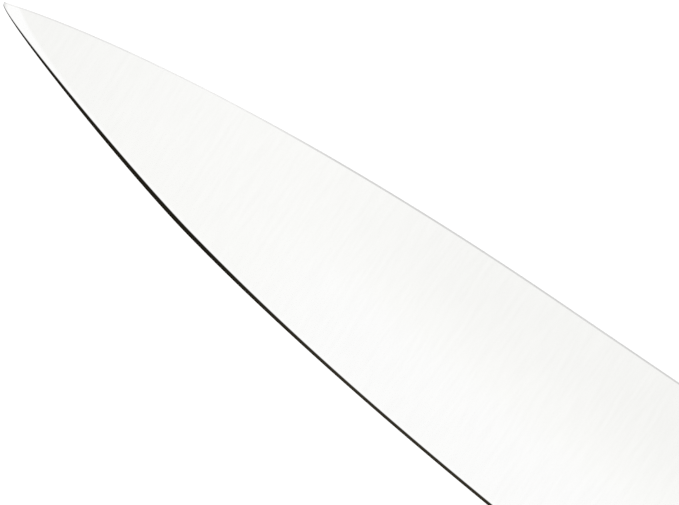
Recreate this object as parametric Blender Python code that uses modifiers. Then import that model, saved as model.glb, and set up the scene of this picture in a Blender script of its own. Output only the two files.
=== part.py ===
"""A forged fillet knife with a full tang, two riveted handle scales and a sloped half bolster.

Metres, +Z up. The knife lies on its side: the tip points to -X, the cutting edge to -Y and the spine to +Y.
Outlines are drawn with X = 0 at the heel of the blade and Y = 0 halfway up the bolster, and Z = 0 in the
middle of the steel. One empty then carries every piece, so that the knife lies centred on the floor.
"""

import math

import bmesh
import bpy
import numpy as np
from mathutils import Vector
from mathutils.geometry import interpolate_bezier

# Blade, seen from its side
BLADE_LENGTH = 0.180
HEEL_DEPTH = 0.0262  # spine to cutting edge at the heel
SPINE_DROP = 0.00698  # how far the tip lies under the straight part of the spine
SPINE_SWEEP = 0.0665  # length of the spine's curved part
TIP_SWEEP = 0.030  # length of the edge's upswept part
TIP_SWEEP_RISE = 0.00932  # how far the edge climbs along it
EDGE_SLOPE = 0.21  # fall per length where the sweep meets the long belly

# Blade, through its thickness
HEEL_THICKNESS = 0.0018
TIP_THICKNESS = 0.0005
SPINE_CORNER = 0.00022  # radius of the spine's eased corners
EDGE_ANGLE = math.radians(19)  # of each sharpened bevel
BEVEL_WIDTH = 0.00027
BEVEL_BELLY_EXTRA = 0.00016  # the bevel is this much wider where the edge sweeps up
BEVEL_BELLY_PLACE = 0.030  # from the tip
BEVEL_BELLY_SPREAD = 0.014
BEVEL_TIP_FADE = 0.005

# Bolster
BOLSTER_HEIGHT = 0.0210
BOLSTER_LENGTH = 0.0130  # heel to the face that the scales butt against
CHOIL_LENGTH = 0.0050  # the curved step from the heel up to the bolster
BOLSTER_BAND = 0.0044  # full-width stretch before the scales, at the underside
SCOOP_FOOT = 0.0004  # where the bolster begins to swell, at the underside
SCOOP_SLANT = 0.0046  # how much nearer the tip it begins at the spine
SCOOP_HOLLOW = 0.70  # handle of the swell's curve at the blade, as a share of its length
SCOOP_CREST = 0.90  # handle at the crest
LEAN_LENGTH = 0.024  # over which the blade's sections come to lean like the scoop

# Handle
HANDLE_LENGTH = 0.1130
HANDLE_THICKNESS = 0.0156
HANDLE_EDGE_RADIUS = 0.0050
NECK_IN = 0.0007  # how far each side draws in towards the bolster
NECK_LENGTH = 0.0110
BACK_RISE = 0.0006
SHOULDER_FALL = 0.0024
BUTT_FALL = 0.0035
BELLY_DROP = 0.0014
WAIST_RISE = 0.0009
BEAK_DROP = 0.0042
OUTLINE_PULL = 0.36  # length of the outline's curve handles, as a share of each stretch
TANG_THICKNESS = 0.0022
TANG_INSET = 0.0001  # the tang lies this far under the scales' outline
TONGUE_LENGTH = 0.0030  # how deep the tang runs into the bolster
TONGUE_STEP = 0.0020
FIT_GAP = 0.0003  # between pieces that seat on each other

# Rivets, each a barrel half and a pin half pressed together
RIVET_COUNT = 3
RIVET_FRONT_ROOM = 0.0200  # from the scale's front to the first rivet
RIVET_BUTT_ROOM = 0.0210  # from the last rivet to the butt
RIVET_HEAD_RADIUS = 0.0040
RIVET_HEAD_THICKNESS = 0.0020
RIVET_HEAD_SUNK = 0.00004
BARREL_RADIUS = 0.0025
PIN_RADIUS = 0.0013
RIVET_CHAMFER = 0.0002

# Fineness of the solids
BLADE_STATIONS = 48
STATION_CROWDING = 1.5  # above 1, stations crowd towards the tip
STATION_SPACE = 0.00012  # nearer stations are left out
ARC_SEGMENTS = 5
CHOIL_SEGMENTS = 6
SCOOP_SEGMENTS = 12
NECK_SEGMENTS = 6
OUTLINE_SEGMENTS = 12
TURNED_STEPS = 28
CURVE_POINTS = 200
WELD = 0.000002  # points nearer than this are one point
SHARP_ANGLE = math.radians(30)

BOLSTER_TOP = BOLSTER_HEIGHT / 2
BOLSTER_BOTTOM = -BOLSTER_HEIGHT / 2
HALF_HANDLE = HANDLE_THICKNESS / 2
SCALE_INNER = TANG_THICKNESS / 2 + FIT_GAP
HANDLE_START = BOLSTER_LENGTH + FIT_GAP
TIP_HEIGHT = BOLSTER_TOP - SPINE_DROP
HEEL_HEIGHT = BOLSTER_TOP - HEEL_DEPTH
SCOOP_LENGTH = BOLSTER_LENGTH - BOLSTER_BAND - SCOOP_FOOT
SCALE_DEPTH = HALF_HANDLE - SCALE_INNER
EDGE_RADIUS = min(HANDLE_EDGE_RADIUS, 0.85 * SCALE_DEPTH)


def clear_scene():
    """Removes what the startup scene holds."""
    for thing in list(bpy.data.objects):
        bpy.data.objects.remove(thing)


def new_collection(name, hidden=False):
    """A collection in the scene."""
    made = bpy.data.collections.new(name)
    bpy.context.scene.collection.children.link(made)
    made.hide_render = hidden
    return made


def material(name, colour, metallic, roughness):
    """A Principled material."""
    made = bpy.data.materials.new(name)
    made.use_nodes = True
    shader = made.node_tree.nodes["Principled BSDF"]
    shader.inputs["Base Color"].default_value = (*colour, 1)
    shader.inputs["Metallic"].default_value = metallic
    shader.inputs["Roughness"].default_value = roughness
    return made


def smoothstep(value):
    """0 below 0, 1 above 1, and an even ease between."""
    held = min(max(value, 0.0), 1.0)
    return held * held * (3 - 2 * held)


def bezier(start, start_handle, end_handle, end, count=CURVE_POINTS):
    """Points along one cubic curve in the plane."""
    corners = [Vector((x, y, 0)) for x, y in (start, start_handle, end_handle, end)]
    return [(point.x, point.y) for point in interpolate_bezier(*corners, count)]


def height_reader(points):
    """A function that reads the height of a left-to-right outline at any X."""
    along = [x for x, _ in points]
    heights = [y for _, y in points]
    return lambda x: float(np.interp(x, along, heights))


def spine_outline():
    """The blade's back: straight from the bolster, then one curve down to the tip."""
    tip_x = -BLADE_LENGTH
    return bezier(
        (tip_x, TIP_HEIGHT),
        (tip_x + 0.064 * SPINE_SWEEP, TIP_HEIGHT + 0.206 * SPINE_DROP),
        (tip_x + 0.38 * SPINE_SWEEP, BOLSTER_TOP),
        (tip_x + SPINE_SWEEP, BOLSTER_TOP),
    )


def edge_outline():
    """The cutting edge: an upswept tip, then a long belly that runs flat at the heel."""
    tip_x = -BLADE_LENGTH
    meet_x = tip_x + TIP_SWEEP
    meet_y = TIP_HEIGHT - TIP_SWEEP_RISE
    belly = BLADE_LENGTH - TIP_SWEEP
    lead = 0.296 * TIP_SWEEP
    run = 0.149 * belly
    sweep = bezier(
        (tip_x, TIP_HEIGHT),
        (tip_x + 0.031 * TIP_SWEEP, TIP_HEIGHT - 0.143 * TIP_SWEEP_RISE),
        (meet_x - lead, meet_y + EDGE_SLOPE * lead),
        (meet_x, meet_y),
    )
    body = bezier(
        (meet_x, meet_y),
        (meet_x + run, meet_y - EDGE_SLOPE * run),
        (-0.559 * belly, HEEL_HEIGHT),
        (0.0, HEEL_HEIGHT),
    )
    return sweep + body[1:]


spine_at = height_reader(spine_outline())
edge_at = height_reader(edge_outline())


def bevel_width(from_tip):
    """Width of the sharpened bevel, seen from the side: none at the tip, widest in the sweep."""
    offset = (from_tip - BEVEL_BELLY_PLACE) / BEVEL_BELLY_SPREAD
    swell = BEVEL_BELLY_EXTRA * math.exp(-offset * offset)
    return BEVEL_WIDTH * (1 - math.exp(-from_tip / BEVEL_TIP_FADE)) + swell


def blade_profile(x):
    """Half of the blade's section at x, as (height, half thickness) from the spine down to the edge.

    The spine is flat with rounded corners, the side runs straight to the shoulder of the bevel, and the
    bevel ends in the edge.
    """
    from_tip = x + BLADE_LENGTH
    top = spine_at(x)
    edge = edge_at(x)
    taper = (HEEL_THICKNESS - TIP_THICKNESS) * from_tip / BLADE_LENGTH
    half = (TIP_THICKNESS + taper) / 2
    corner = min(SPINE_CORNER, 0.8 * half, 0.2 * (top - edge))
    bevel = min(bevel_width(from_tip), 0.25 * (top - edge))
    behind = min(bevel * math.tan(EDGE_ANGLE), 0.8 * half)
    profile = [(top, 0.0)]
    for angle in (0, 30, 60, 90):
        turn = math.radians(angle)
        profile.append((top - corner * (1 - math.cos(turn)), half - corner * (1 - math.sin(turn))))
    side_count = 2 * ARC_SEGMENTS - 1
    for i in range(1, side_count + 1):
        share = i / side_count
        height = top - corner + (edge + bevel - top + corner) * share
        profile.append((height, half + (behind - half) * share))
    return profile + [(edge, 0.0)]


def blade_half(x, height):
    """Half the blade's thickness at a place on its side."""
    rising = blade_profile(x)[-2:0:-1]
    return float(np.interp(height, [row[0] for row in rising], [row[1] for row in rising]))


def handle_side(depth):
    """Half thickness of the handle at a depth below its outline, with its edge rounded."""
    short = min(max(EDGE_RADIUS - depth, 0.0), EDGE_RADIUS)
    return HALF_HANDLE - EDGE_RADIUS + math.sqrt(EDGE_RADIUS**2 - short**2)


def neck_share(from_front):
    """How much of the scale's thickness is left at a distance from the bolster."""
    return 1 - NECK_IN / SCALE_DEPTH * (1 - smoothstep(from_front / NECK_LENGTH))


def bolster_side(depth):
    """Half thickness of the bolster at a depth below its outline. It meets the scales flush."""
    return SCALE_INNER + (handle_side(depth) - SCALE_INNER) * neck_share(0)


def underside_at(x):
    """Bottom of the steel behind the heel: a quarter ellipse up to the bolster, then straight."""
    if x >= CHOIL_LENGTH:
        return BOLSTER_BOTTOM
    across = 1 - x / CHOIL_LENGTH
    step = BOLSTER_BOTTOM - HEEL_HEIGHT
    return BOLSTER_BOTTOM - step * (1 - math.sqrt(max(1 - across * across, 0.0)))


def scoop_outline():
    """The bolster's swell along its length, as (share of the length, share of the swell)."""
    return bezier((0, 0), (SCOOP_HOLLOW, 0), (SCOOP_CREST, 1), (1, 1), SCOOP_SEGMENTS + 1)


def lean(foot):
    """How far ahead of its foot a section starts at the spine. Sections lean to follow the bolster's front."""
    rise = smoothstep((foot - SCOOP_FOOT + LEAN_LENGTH) / LEAN_LENGTH)
    fall = smoothstep((foot - SCOOP_FOOT - SCOOP_LENGTH) / BOLSTER_BAND)
    return SCOOP_SLANT * (rise - fall)


def bolster_rows(top, bottom):
    """Heights at which the bolster's rounded section is drawn, one for each point of blade_profile."""
    radius = min(EDGE_RADIUS, 0.45 * (top - bottom))
    turns = [math.pi / 2 * i / ARC_SEGMENTS for i in range(ARC_SEGMENTS + 1)]
    upper = [top - radius * (1 - math.cos(a)) for a in turns]
    lower = [bottom + radius * (1 - math.cos(a)) for a in reversed(turns)]
    return [top, *upper, (top + bottom) / 2, *lower, bottom]


def section_rows(foot):
    """Heights of a section's points from the spine down. Behind the heel they move to the bolster's rows."""
    blade = [height for height, _ in blade_profile(min(foot, 0.0))]
    if foot <= 0:
        return blade
    top = blade[0]
    bottom = underside_at(foot)
    stretch = (top - bottom) / (top - blade[-2])
    drawn = [top - (top - height) * stretch for height in blade[:-1]] + [bottom]
    reach = smoothstep((foot - SCOOP_FOOT) / (0.6 * SCOOP_LENGTH))
    return [a + (b - a) * reach for a, b in zip(drawn, bolster_rows(top, bottom))]


def ring_at(foot):
    """The section whose lowest point lies at foot, as points round the steel."""
    rows = section_rows(foot)
    top = rows[0]
    bottom = rows[-1]
    swell = height_reader(scoop_outline())((foot - SCOOP_FOOT) / SCOOP_LENGTH)
    one_side = []
    for row, height in enumerate(rows):
        down = (top - height) / (top - bottom)
        x = foot - lean(foot) * (1 - down * down)
        half = 0.0
        if 0 < row < len(rows) - 1:
            thin = blade_half(min(x, 0.0), height)
            thick = bolster_side(min(top - height, height - bottom))
            half = thin + (thick - thin) * swell
        one_side.append(Vector((x, height, half)))
    other_side = [Vector((point.x, point.y, -point.z)) for point in one_side[-2:0:-1]]
    return one_side + other_side


def stations():
    """Where the feet of the sections lie, crowded at the tip, the choil and the bolster's crest."""
    shares = [(i / BLADE_STATIONS) ** STATION_CROWDING for i in range(1, BLADE_STATIONS + 1)]
    blade = [-BLADE_LENGTH * (1 - share) for share in shares]
    turns = [math.pi / 2 * i / CHOIL_SEGMENTS for i in range(1, CHOIL_SEGMENTS + 1)]
    choil = [CHOIL_LENGTH * (1 - math.cos(a)) for a in turns]
    scoop = [SCOOP_FOOT + SCOOP_LENGTH * share for share, _ in scoop_outline()]
    kept = []
    for foot in sorted(blade + choil + scoop + [BOLSTER_LENGTH]):
        if not kept or foot - kept[-1] > STATION_SPACE:
            kept.append(foot)
    return kept


def mesh_object(name, bm, collection, parent, finish=None):
    """Turns a bmesh into a named object."""
    mesh = bpy.data.meshes.new(name)
    bm.to_mesh(mesh)
    bm.free()
    return place(name, mesh, collection, parent, finish)


def place(name, data, collection, parent, finish=None):
    """Adds an object under the knife's empty."""
    made = bpy.data.objects.new(name, data)
    collection.objects.link(made)
    made.parent = parent
    if finish:
        data.materials.append(finish)
    return made


def settle(thing):
    """Applies a piece's modifiers, then shades it smooth between its sharp edges."""
    graph = bpy.context.evaluated_depsgraph_get()
    mesh = bpy.data.meshes.new_from_object(thing.evaluated_get(graph))
    thing.modifiers.clear()
    thing.data = mesh
    mesh.shade_smooth()
    mesh.set_sharp_from_angle(angle=SHARP_ANGLE)


def loft_from_point(start, rings):
    """A closed skin from a point through rings of equal count to a flat end."""
    bm = bmesh.new()
    pole = bm.verts.new(start)
    rows = [[bm.verts.new(point) for point in ring] for ring in rings]
    count = len(rows[0])
    for i in range(count):
        bm.faces.new((pole, rows[0][(i + 1) % count], rows[0][i]))
    for near, far in zip(rows, rows[1:]):
        for i in range(count):
            j = (i + 1) % count
            bm.faces.new((near[i], near[j], far[j], far[i]))
    bm.faces.new(rows[-1])
    bmesh.ops.recalc_face_normals(bm, faces=bm.faces)
    return bm


def handle_knots(inset):
    """The handle's outline as (place, height, heading in degrees), over the back to the butt and back again."""
    top = BOLSTER_TOP - inset
    bottom = BOLSTER_BOTTOM + inset
    return [
        (0.0, top, 1),
        (0.40 * HANDLE_LENGTH, top + BACK_RISE, -1),
        (0.80 * HANDLE_LENGTH, top - SHOULDER_FALL, -11),
        (HANDLE_LENGTH - inset, -BUTT_FALL, -95),
        (0.925 * HANDLE_LENGTH, bottom - BEAK_DROP, -177),
        (0.62 * HANDLE_LENGTH, bottom + WAIST_RISE, -181),
        (0.27 * HANDLE_LENGTH, bottom - BELLY_DROP, -180),
        (0.0, bottom, -184),
    ]


def along_heading(start, heading, distance):
    """The point at a distance from another, along a heading in degrees."""
    turn = math.radians(heading)
    return (start[0] + math.cos(turn) * distance, start[1] + math.sin(turn) * distance)


def handle_outline(inset=0.0):
    """Points of the handle's outline, each stretch a cubic that leaves and arrives along its headings."""
    knots = handle_knots(inset)
    points = [knots[0][:2]]
    for (ax, ay, leaving), (bx, by, arriving) in zip(knots, knots[1:]):
        pull = OUTLINE_PULL * math.hypot(bx - ax, by - ay)
        handle_a = along_heading((ax, ay), leaving, pull)
        handle_b = along_heading((bx, by), arriving, -pull)
        points += bezier((ax, ay), handle_a, handle_b, (bx, by), OUTLINE_SEGMENTS + 1)[1:]
    return points


def plate(name, points, thickness):
    """A mesh of a flat outline with thickness, centred on its plane, made from a filled curve."""
    flat = bpy.data.curves.new(name, "CURVE")
    flat.dimensions = "2D"
    flat.fill_mode = "BOTH"
    flat.extrude = thickness / 2
    line = flat.splines.new("POLY")
    line.points.add(len(points) - 1)
    line.use_cyclic_u = True
    for spot, (x, y) in zip(line.points, points):
        spot.co = (x, y, 0, 1)
    carrier = bpy.data.objects.new(name, flat)
    bpy.context.scene.collection.objects.link(carrier)
    graph = bpy.context.evaluated_depsgraph_get()
    mesh = bpy.data.meshes.new_from_object(carrier.evaluated_get(graph))
    bpy.data.objects.remove(carrier)
    bm = bmesh.new()
    bm.from_mesh(mesh)
    bpy.data.meshes.remove(mesh)
    bmesh.ops.remove_doubles(bm, verts=bm.verts, dist=WELD)
    bmesh.ops.dissolve_limit(bm, angle_limit=math.radians(0.05), verts=bm.verts, edges=bm.edges)
    bmesh.ops.recalc_face_normals(bm, faces=bm.faces)
    return bm


def as_cutter(thing):
    """Marks an object as a tool that isn't part of the knife."""
    thing.hide_render = True
    thing.display_type = "WIRE"
    return thing


def make_steel(collection, parent, finish, cutters):
    """The forging: blade, bolster and full tang in one piece. The tang's tongue is buried in the bolster."""
    pole = Vector((-BLADE_LENGTH, TIP_HEIGHT, 0))
    forged = loft_from_point(pole, [ring_at(foot) for foot in stations()])
    steel = mesh_object("blade", forged, collection, parent, finish)

    outline = handle_outline(TANG_INSET)
    tongue = [
        (-TONGUE_LENGTH / 2, BOLSTER_BOTTOM + TANG_INSET),
        (-TONGUE_LENGTH, BOLSTER_BOTTOM + TONGUE_STEP),
        (-TONGUE_LENGTH, BOLSTER_TOP - TONGUE_STEP),
        (-TONGUE_LENGTH / 2, BOLSTER_TOP - TANG_INSET),
    ]
    tang_mesh = plate("tang", outline + tongue, TANG_THICKNESS)
    tang = as_cutter(mesh_object("tang_stock", tang_mesh, cutters, parent))
    tang.location.x = BOLSTER_LENGTH
    join = steel.modifiers.new("forge the tang on", "BOOLEAN")
    join.operation = "UNION"
    join.object = tang
    return steel


def drill(thing, cutters):
    """Takes each cutter out of a piece."""
    for cutter in cutters:
        cut = thing.modifiers.new("drill " + cutter.name, "BOOLEAN")
        cut.operation = "DIFFERENCE"
        cut.object = cutter


def make_scale(name, side, collection, parent, finish):
    """One handle scale, drawn from its front end. Side is 1 for the upper one and -1 for the lower one."""
    bm = plate(name, handle_outline(), SCALE_DEPTH)
    bmesh.ops.translate(bm, verts=bm.verts, vec=(0, 0, SCALE_INNER + SCALE_DEPTH / 2))
    rim = []
    for edge in bm.edges:
        ends = [vert.co for vert in edge.verts]
        on_face = all(end.z > HALF_HANDLE - WELD for end in ends)
        at_front = all(end.x < WELD for end in ends)
        if on_face and not at_front:
            rim.append(edge)
    bmesh.ops.bevel(
        bm, geom=rim, offset=EDGE_RADIUS, segments=ARC_SEGMENTS, profile=0.5, affect="EDGES"
    )
    for i in range(1, NECK_SEGMENTS + 1):
        cut = (NECK_LENGTH * i / NECK_SEGMENTS, 0, 0)
        everything = bm.verts[:] + bm.edges[:] + bm.faces[:]
        bmesh.ops.bisect_plane(bm, geom=everything, plane_co=cut, plane_no=(1, 0, 0))
    for vert in bm.verts:
        vert.co.z = SCALE_INNER + (vert.co.z - SCALE_INNER) * neck_share(vert.co.x)
    if side < 0:
        bmesh.ops.scale(bm, vec=(1, 1, -1), verts=bm.verts)
        bmesh.ops.reverse_faces(bm, faces=bm.faces)
    scale = mesh_object(name, bm, collection, parent, finish)
    scale.location.x = HANDLE_START
    return scale


def turned(name, profile, collection, parent, finish=None):
    """A piece turned about Z, from (radius, height) points that run down its outer side."""
    mesh = bpy.data.meshes.new(name)
    points = [(radius, 0, height) for radius, height in profile]
    mesh.from_pydata(points, [(i, i + 1) for i in range(len(points) - 1)], [])
    made = place(name, mesh, collection, parent, finish)
    screw = made.modifiers.new("turn", "SCREW")
    screw.steps = TURNED_STEPS
    screw.render_steps = TURNED_STEPS
    screw.use_merge_vertices = True
    screw.merge_threshold = WELD
    return made


def rivet_places():
    """Where the rivets stand: evenly along the handle, halfway between its back and its belly."""
    outline = handle_outline()
    turn = max(range(len(outline)), key=lambda i: outline[i][0])
    back = height_reader(outline[: turn + 1])
    belly = height_reader(outline[: turn - 1 : -1])
    reach = HANDLE_LENGTH - RIVET_FRONT_ROOM - RIVET_BUTT_ROOM
    places = []
    for i in range(RIVET_COUNT):
        along = RIVET_FRONT_ROOM + reach * i / (RIVET_COUNT - 1)
        places.append((HANDLE_START + along, (back(along) + belly(along)) / 2, 0))
    return places


def make_drills(collection, parent):
    """One cutter for each rivet: a hole for the barrel, with a counterbore for the head at each end."""
    head = RIVET_HEAD_RADIUS + FIT_GAP
    hole = BARREL_RADIUS + FIT_GAP
    seat = HALF_HANDLE - RIVET_HEAD_SUNK - RIVET_HEAD_THICKNESS - FIT_GAP
    past = HALF_HANDLE + RIVET_HEAD_THICKNESS
    profile = [(0, past), (head, past), (head, seat), (hole, seat), (hole, -seat), (head, -seat)]
    profile += [(head, -past), (0, -past)]
    made = []
    for number, spot in enumerate(rivet_places(), 1):
        cutter = as_cutter(turned(f"rivet_{number}_drill", profile, collection, parent))
        cutter.location = spot
        made.append(cutter)
    return made


def head_rim(face):
    """The top of a rivet head, with its edge broken."""
    return [
        (0, face),
        (RIVET_HEAD_RADIUS - RIVET_CHAMFER, face),
        (RIVET_HEAD_RADIUS, face - RIVET_CHAMFER),
    ]


def make_rivets(collection, parent, finish):
    """Each rivet's barrel half comes in from the upper side, and its pin half from the lower side."""
    face = HALF_HANDLE - RIVET_HEAD_SUNK
    seat = face - RIVET_HEAD_THICKNESS
    bore = PIN_RADIUS + FIT_GAP
    barrel = head_rim(face) + [
        (RIVET_HEAD_RADIUS, seat),
        (BARREL_RADIUS, seat),
        (BARREL_RADIUS, FIT_GAP - seat),
        (bore, FIT_GAP - seat),
        (bore, seat),
        (0, seat),
    ]
    pin = head_rim(face) + [
        (RIVET_HEAD_RADIUS, seat),
        (PIN_RADIUS, seat),
        (PIN_RADIUS, RIVET_CHAMFER + FIT_GAP - seat),
        (PIN_RADIUS - RIVET_CHAMFER, FIT_GAP - seat),
        (0, FIT_GAP - seat),
    ]
    for number, spot in enumerate(rivet_places(), 1):
        upper = turned(f"rivet_{number}_barrel", barrel, collection, parent, finish)
        upper.location = spot
        lower = turned(f"rivet_{number}_pin", pin, collection, parent, finish)
        lower.location = spot
        lower.rotation_euler.x = math.pi


def knife_empty(collection):
    """The empty that carries the knife, placed so that the whole stands centred on the floor."""
    handle = [(HANDLE_START + x, y) for x, y in handle_outline()]
    right = max(x for x, _ in handle)
    top = max(y for _, y in handle)
    bottom = min(min(y for _, y in handle), HEEL_HEIGHT)
    made = bpy.data.objects.new("knife", None)
    made.location = (-(right - BLADE_LENGTH) / 2, -(top + bottom) / 2, HALF_HANDLE)
    collection.objects.link(made)
    return made


def main():
    """Builds the whole knife."""
    clear_scene()
    pieces = new_collection("fillet_knife")
    cutters = new_collection("cutters", hidden=True)
    knife = knife_empty(pieces)
    steel = material("ground_steel", (0.82, 0.82, 0.81), 1.0, 0.28)
    rivet_steel = material("rivet_steel", (0.74, 0.74, 0.73), 1.0, 0.22)
    handle_black = material("handle_black", (0.018, 0.018, 0.019), 0.0, 0.42)

    drills = make_drills(cutters, knife)
    blade = make_steel(pieces, knife, steel, cutters)
    drill(blade, drills)
    for name, side in (("upper_scale", 1), ("lower_scale", -1)):
        drill(make_scale(name, side, pieces, knife, handle_black), drills)
    make_rivets(pieces, knife, rivet_steel)
    for piece in pieces.objects:
        if piece.type == "MESH":
            settle(piece)


main()
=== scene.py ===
"""Looks of the forged fillet knife: ground blade, honed edge, polished bolster and riveted black scales.

Metres. The pieces are drawn in the knife's own frame, as the part's source does it: X = 0 at the heel and
Y = 0 halfway up the bolster, with the tip towards -X and the spine towards +Y. A value named hill is
(height, centre, spread) and one named ramp is (height, start, length), with places from the tip.
"""

import math

import bmesh
import bpy
import numpy as np
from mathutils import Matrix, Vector
from mathutils.geometry import interpolate_bezier


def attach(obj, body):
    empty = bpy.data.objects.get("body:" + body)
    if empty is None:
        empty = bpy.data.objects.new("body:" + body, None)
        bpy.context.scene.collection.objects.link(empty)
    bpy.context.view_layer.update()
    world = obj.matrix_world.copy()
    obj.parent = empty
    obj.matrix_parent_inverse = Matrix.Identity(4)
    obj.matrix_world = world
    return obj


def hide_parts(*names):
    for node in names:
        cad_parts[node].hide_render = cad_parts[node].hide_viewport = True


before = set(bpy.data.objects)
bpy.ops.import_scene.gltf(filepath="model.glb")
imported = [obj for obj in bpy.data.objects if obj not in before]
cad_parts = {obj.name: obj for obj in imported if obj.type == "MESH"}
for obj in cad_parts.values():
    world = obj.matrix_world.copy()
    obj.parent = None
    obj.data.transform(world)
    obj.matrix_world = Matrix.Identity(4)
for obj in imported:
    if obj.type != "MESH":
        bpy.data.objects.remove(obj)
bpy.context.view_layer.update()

# Sizes of the knife, as in the part's source
BLADE_LENGTH = 0.180
HEEL_DEPTH = 0.0262
SPINE_DROP = 0.00698
SPINE_SWEEP = 0.0665
TIP_SWEEP = 0.030
TIP_SWEEP_RISE = 0.00932
EDGE_SLOPE = 0.21
HEEL_THICKNESS = 0.0018
TIP_THICKNESS = 0.0005
EDGE_ANGLE = math.radians(19)
BOLSTER_HEIGHT = 0.0210
BOLSTER_LENGTH = 0.0130
CHOIL_LENGTH = 0.0050
BOLSTER_BAND = 0.0044
SCOOP_FOOT = 0.0004
SCOOP_SLANT = 0.0046
SCOOP_HOLLOW = 0.70
SCOOP_CREST = 0.90
SCOOP_SETTLE = 0.6  # share of the scoop in which the sections' points move to the bolster's
LEAN_LENGTH = 0.024
HANDLE_LENGTH = 0.1130
HANDLE_THICKNESS = 0.0156
EDGE_RADIUS = 0.0050
NECK_IN = 0.0007
NECK_LENGTH = 0.0110
BACK_RISE = 0.0006
SHOULDER_FALL = 0.0024
BUTT_FALL = 0.0035
BELLY_DROP = 0.0014
WAIST_RISE = 0.0009
BEAK_DROP = 0.0042
OUTLINE_PULL = 0.36
TANG_THICKNESS = 0.0022
CAD_GAP = 0.0003  # between the solids
RIVET_COUNT = 3
RIVET_FRONT_ROOM = 0.0200
RIVET_BUTT_ROOM = 0.0210
RIVET_HEAD_RADIUS = 0.0040
RIVET_HEAD_THICKNESS = 0.0020
RIVET_HEAD_SUNK = 0.00004

# Handles of the blade's curves, as shares of the length and, at the tip, the height that each one spans
SPINE_TIP_HANDLE = (0.064, 0.206)
SPINE_REAR_HANDLE = 0.38
SWEEP_TIP_HANDLE = (0.031, 0.143)
SWEEP_REAR_HANDLE = 0.296
BELLY_FRONT_HANDLE = 0.149
BELLY_HEEL_HANDLE = 0.559

# The most that roundings and bevels take of what they lie on
CORNER_OF_DEPTH = 0.2
BEVEL_OF_DEPTH = 0.25
EITHER_OF_THICKNESS = 0.8
ROUNDING_OF_BOLSTER = 0.45

# Shapes that are finer than the solids'
BEVEL_WIDTH = 0.00030
BEVEL_BELLY_HILL = (0.000135, 0.027, 0.015)
BEVEL_TIP_FADE = 0.0070
SPINE_CORNER = 0.00023
SPINE_LIFT_RAMP = (0.00011, 0.0, 0.030)  # lifts the back over the solid's, with places from the heel
SPINE_TIP_HILL = (0.00006, 0.0, 0.017)  # and lifts it further at the tip
EDGE_DROP = 0.00006  # how far the edge stands under the solid's in the tip's sweep
EDGE_DROP_RAMP = (EDGE_DROP, 0.020, 0.030)  # takes the drop off again
JOINT = 0.00002  # hairline between fitted pieces
TRIM = 0.00004  # keeps the finer outlines inside the solid's box
TONGUE_LENGTH = 0.0020  # how deep the tang runs into the bolster
TONGUE_STEP = 0.0020  # how far its end lies in from the back and the underside
TONGUE_SHOULDER = 0.0005  # how deep it runs in before it steps in
HEAD_CHAMFER = 0.00012
HEAD_CROWN = 0.00001  # how much a rivet's face bulges
SHANK_RADIUS = 0.0024
DRILL_REACH = 1.2  # of the rivet holes' cutters, as a share of half the handle's thickness

# Painted highlight and painted dark reflection beside the bevel, as distances above the bevel
PAINTED_DARK_BAND = 0.00010  # painted dark reflection that runs on from the bevel onto the face
GLINT = 0.00028  # painted highlight, a bright band
GLINT_TIP_EXTRA = 0.0016  # how much wider that band is at the tip
GLINT_TIP_FADE = 0.0042
GLINT_EASE = (-0.00025, 0.00020)  # where the band begins and is full, from its upper border

# Painted reflection on the ground face: duller and brighter stretches that stand in for the studio's
# reflection
FACE_REFLECTION_BASE = 0.73
FACE_TIP_HILL = (-0.45, 0.0, 0.016)
FACE_BACK_RAMPS = [(-0.42, 0.034, 0.030), (-0.12, 0.070, 0.016)]  # along the back
FACE_EDGE_RAMP = (0.20, 0.030, 0.020)  # along the edge
FACE_ACROSS_RAMP = (1.0, 0.15, 0.54)  # from the back to the edge, in shares of the depth
FACE_STOPS = [(0.0, 0.898, 0.880), (0.78, 0.956, 0.939), (1.0, 0.974, 0.973)]  # painted reflection, red and green, blue

# Brightness of the spine: its steel's level, with painted highlights where a hill is above 0 and painted
# shade at the point and behind the curve
SPINE_BRIGHTNESS = 0.88
SPINE_HILLS = [(0.07, 0.022, 0.008), (0.10, 0.0, 0.0020), (-0.45, 0.0, 0.0003)]
SPINE_REAR_RAMP = (-0.15, 0.028, 0.013)

# Colours
# The bevel's dark colour is a painted reflection of dark surroundings
BEVEL_PAINTED_REFLECTION = (0.014, 0.012, 0.008)
BEVEL_REAR = (0.034, 0.052)  # places from the tip between which the bevel's painted dark reflection turns lighter
BEVEL_REAR_GAIN = 2.2
# colour of the painted highlight above the bevel
GLINT_COLOUR = (0.99, 0.99, 0.985)
SPINE_TINT = (1.0, 0.995, 0.985)
STEEL_TINT = (1.0, 0.995, 0.98)
PLASTIC_TINT = (1.0, 1.0, 1.04)

# Noise values that a finish's range is spread over
MARK_RANGE = (0.3, 0.7)
FACE_RANGE = (0.25, 0.75)

# Studio, with strengths at which 1 is white
SKY_HORIZON = 0.62  # what is seen behind the knife, and in its steel
SKY_TOP = 1.0
SKY_FULL_HEIGHT = 0.75  # height on the unit sphere from which it is that bright
SKY_LIGHT = 0.70  # what lights the knife
FLOOR_DROP = 0.0002  # under the knife
FLOOR_SIZE = 6.0
FLOOR_COLOUR = 0.62
FLOOR_SEEN_COLOUR = 0.26  # the part of the seen floor that takes shadows
FLOOR_SEEN_GLOW = 0.89
KEY_PLACE = (0.46, -0.94, 1.08)
KEY_SIZE = 0.8
KEY_POWER = 4.0

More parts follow.
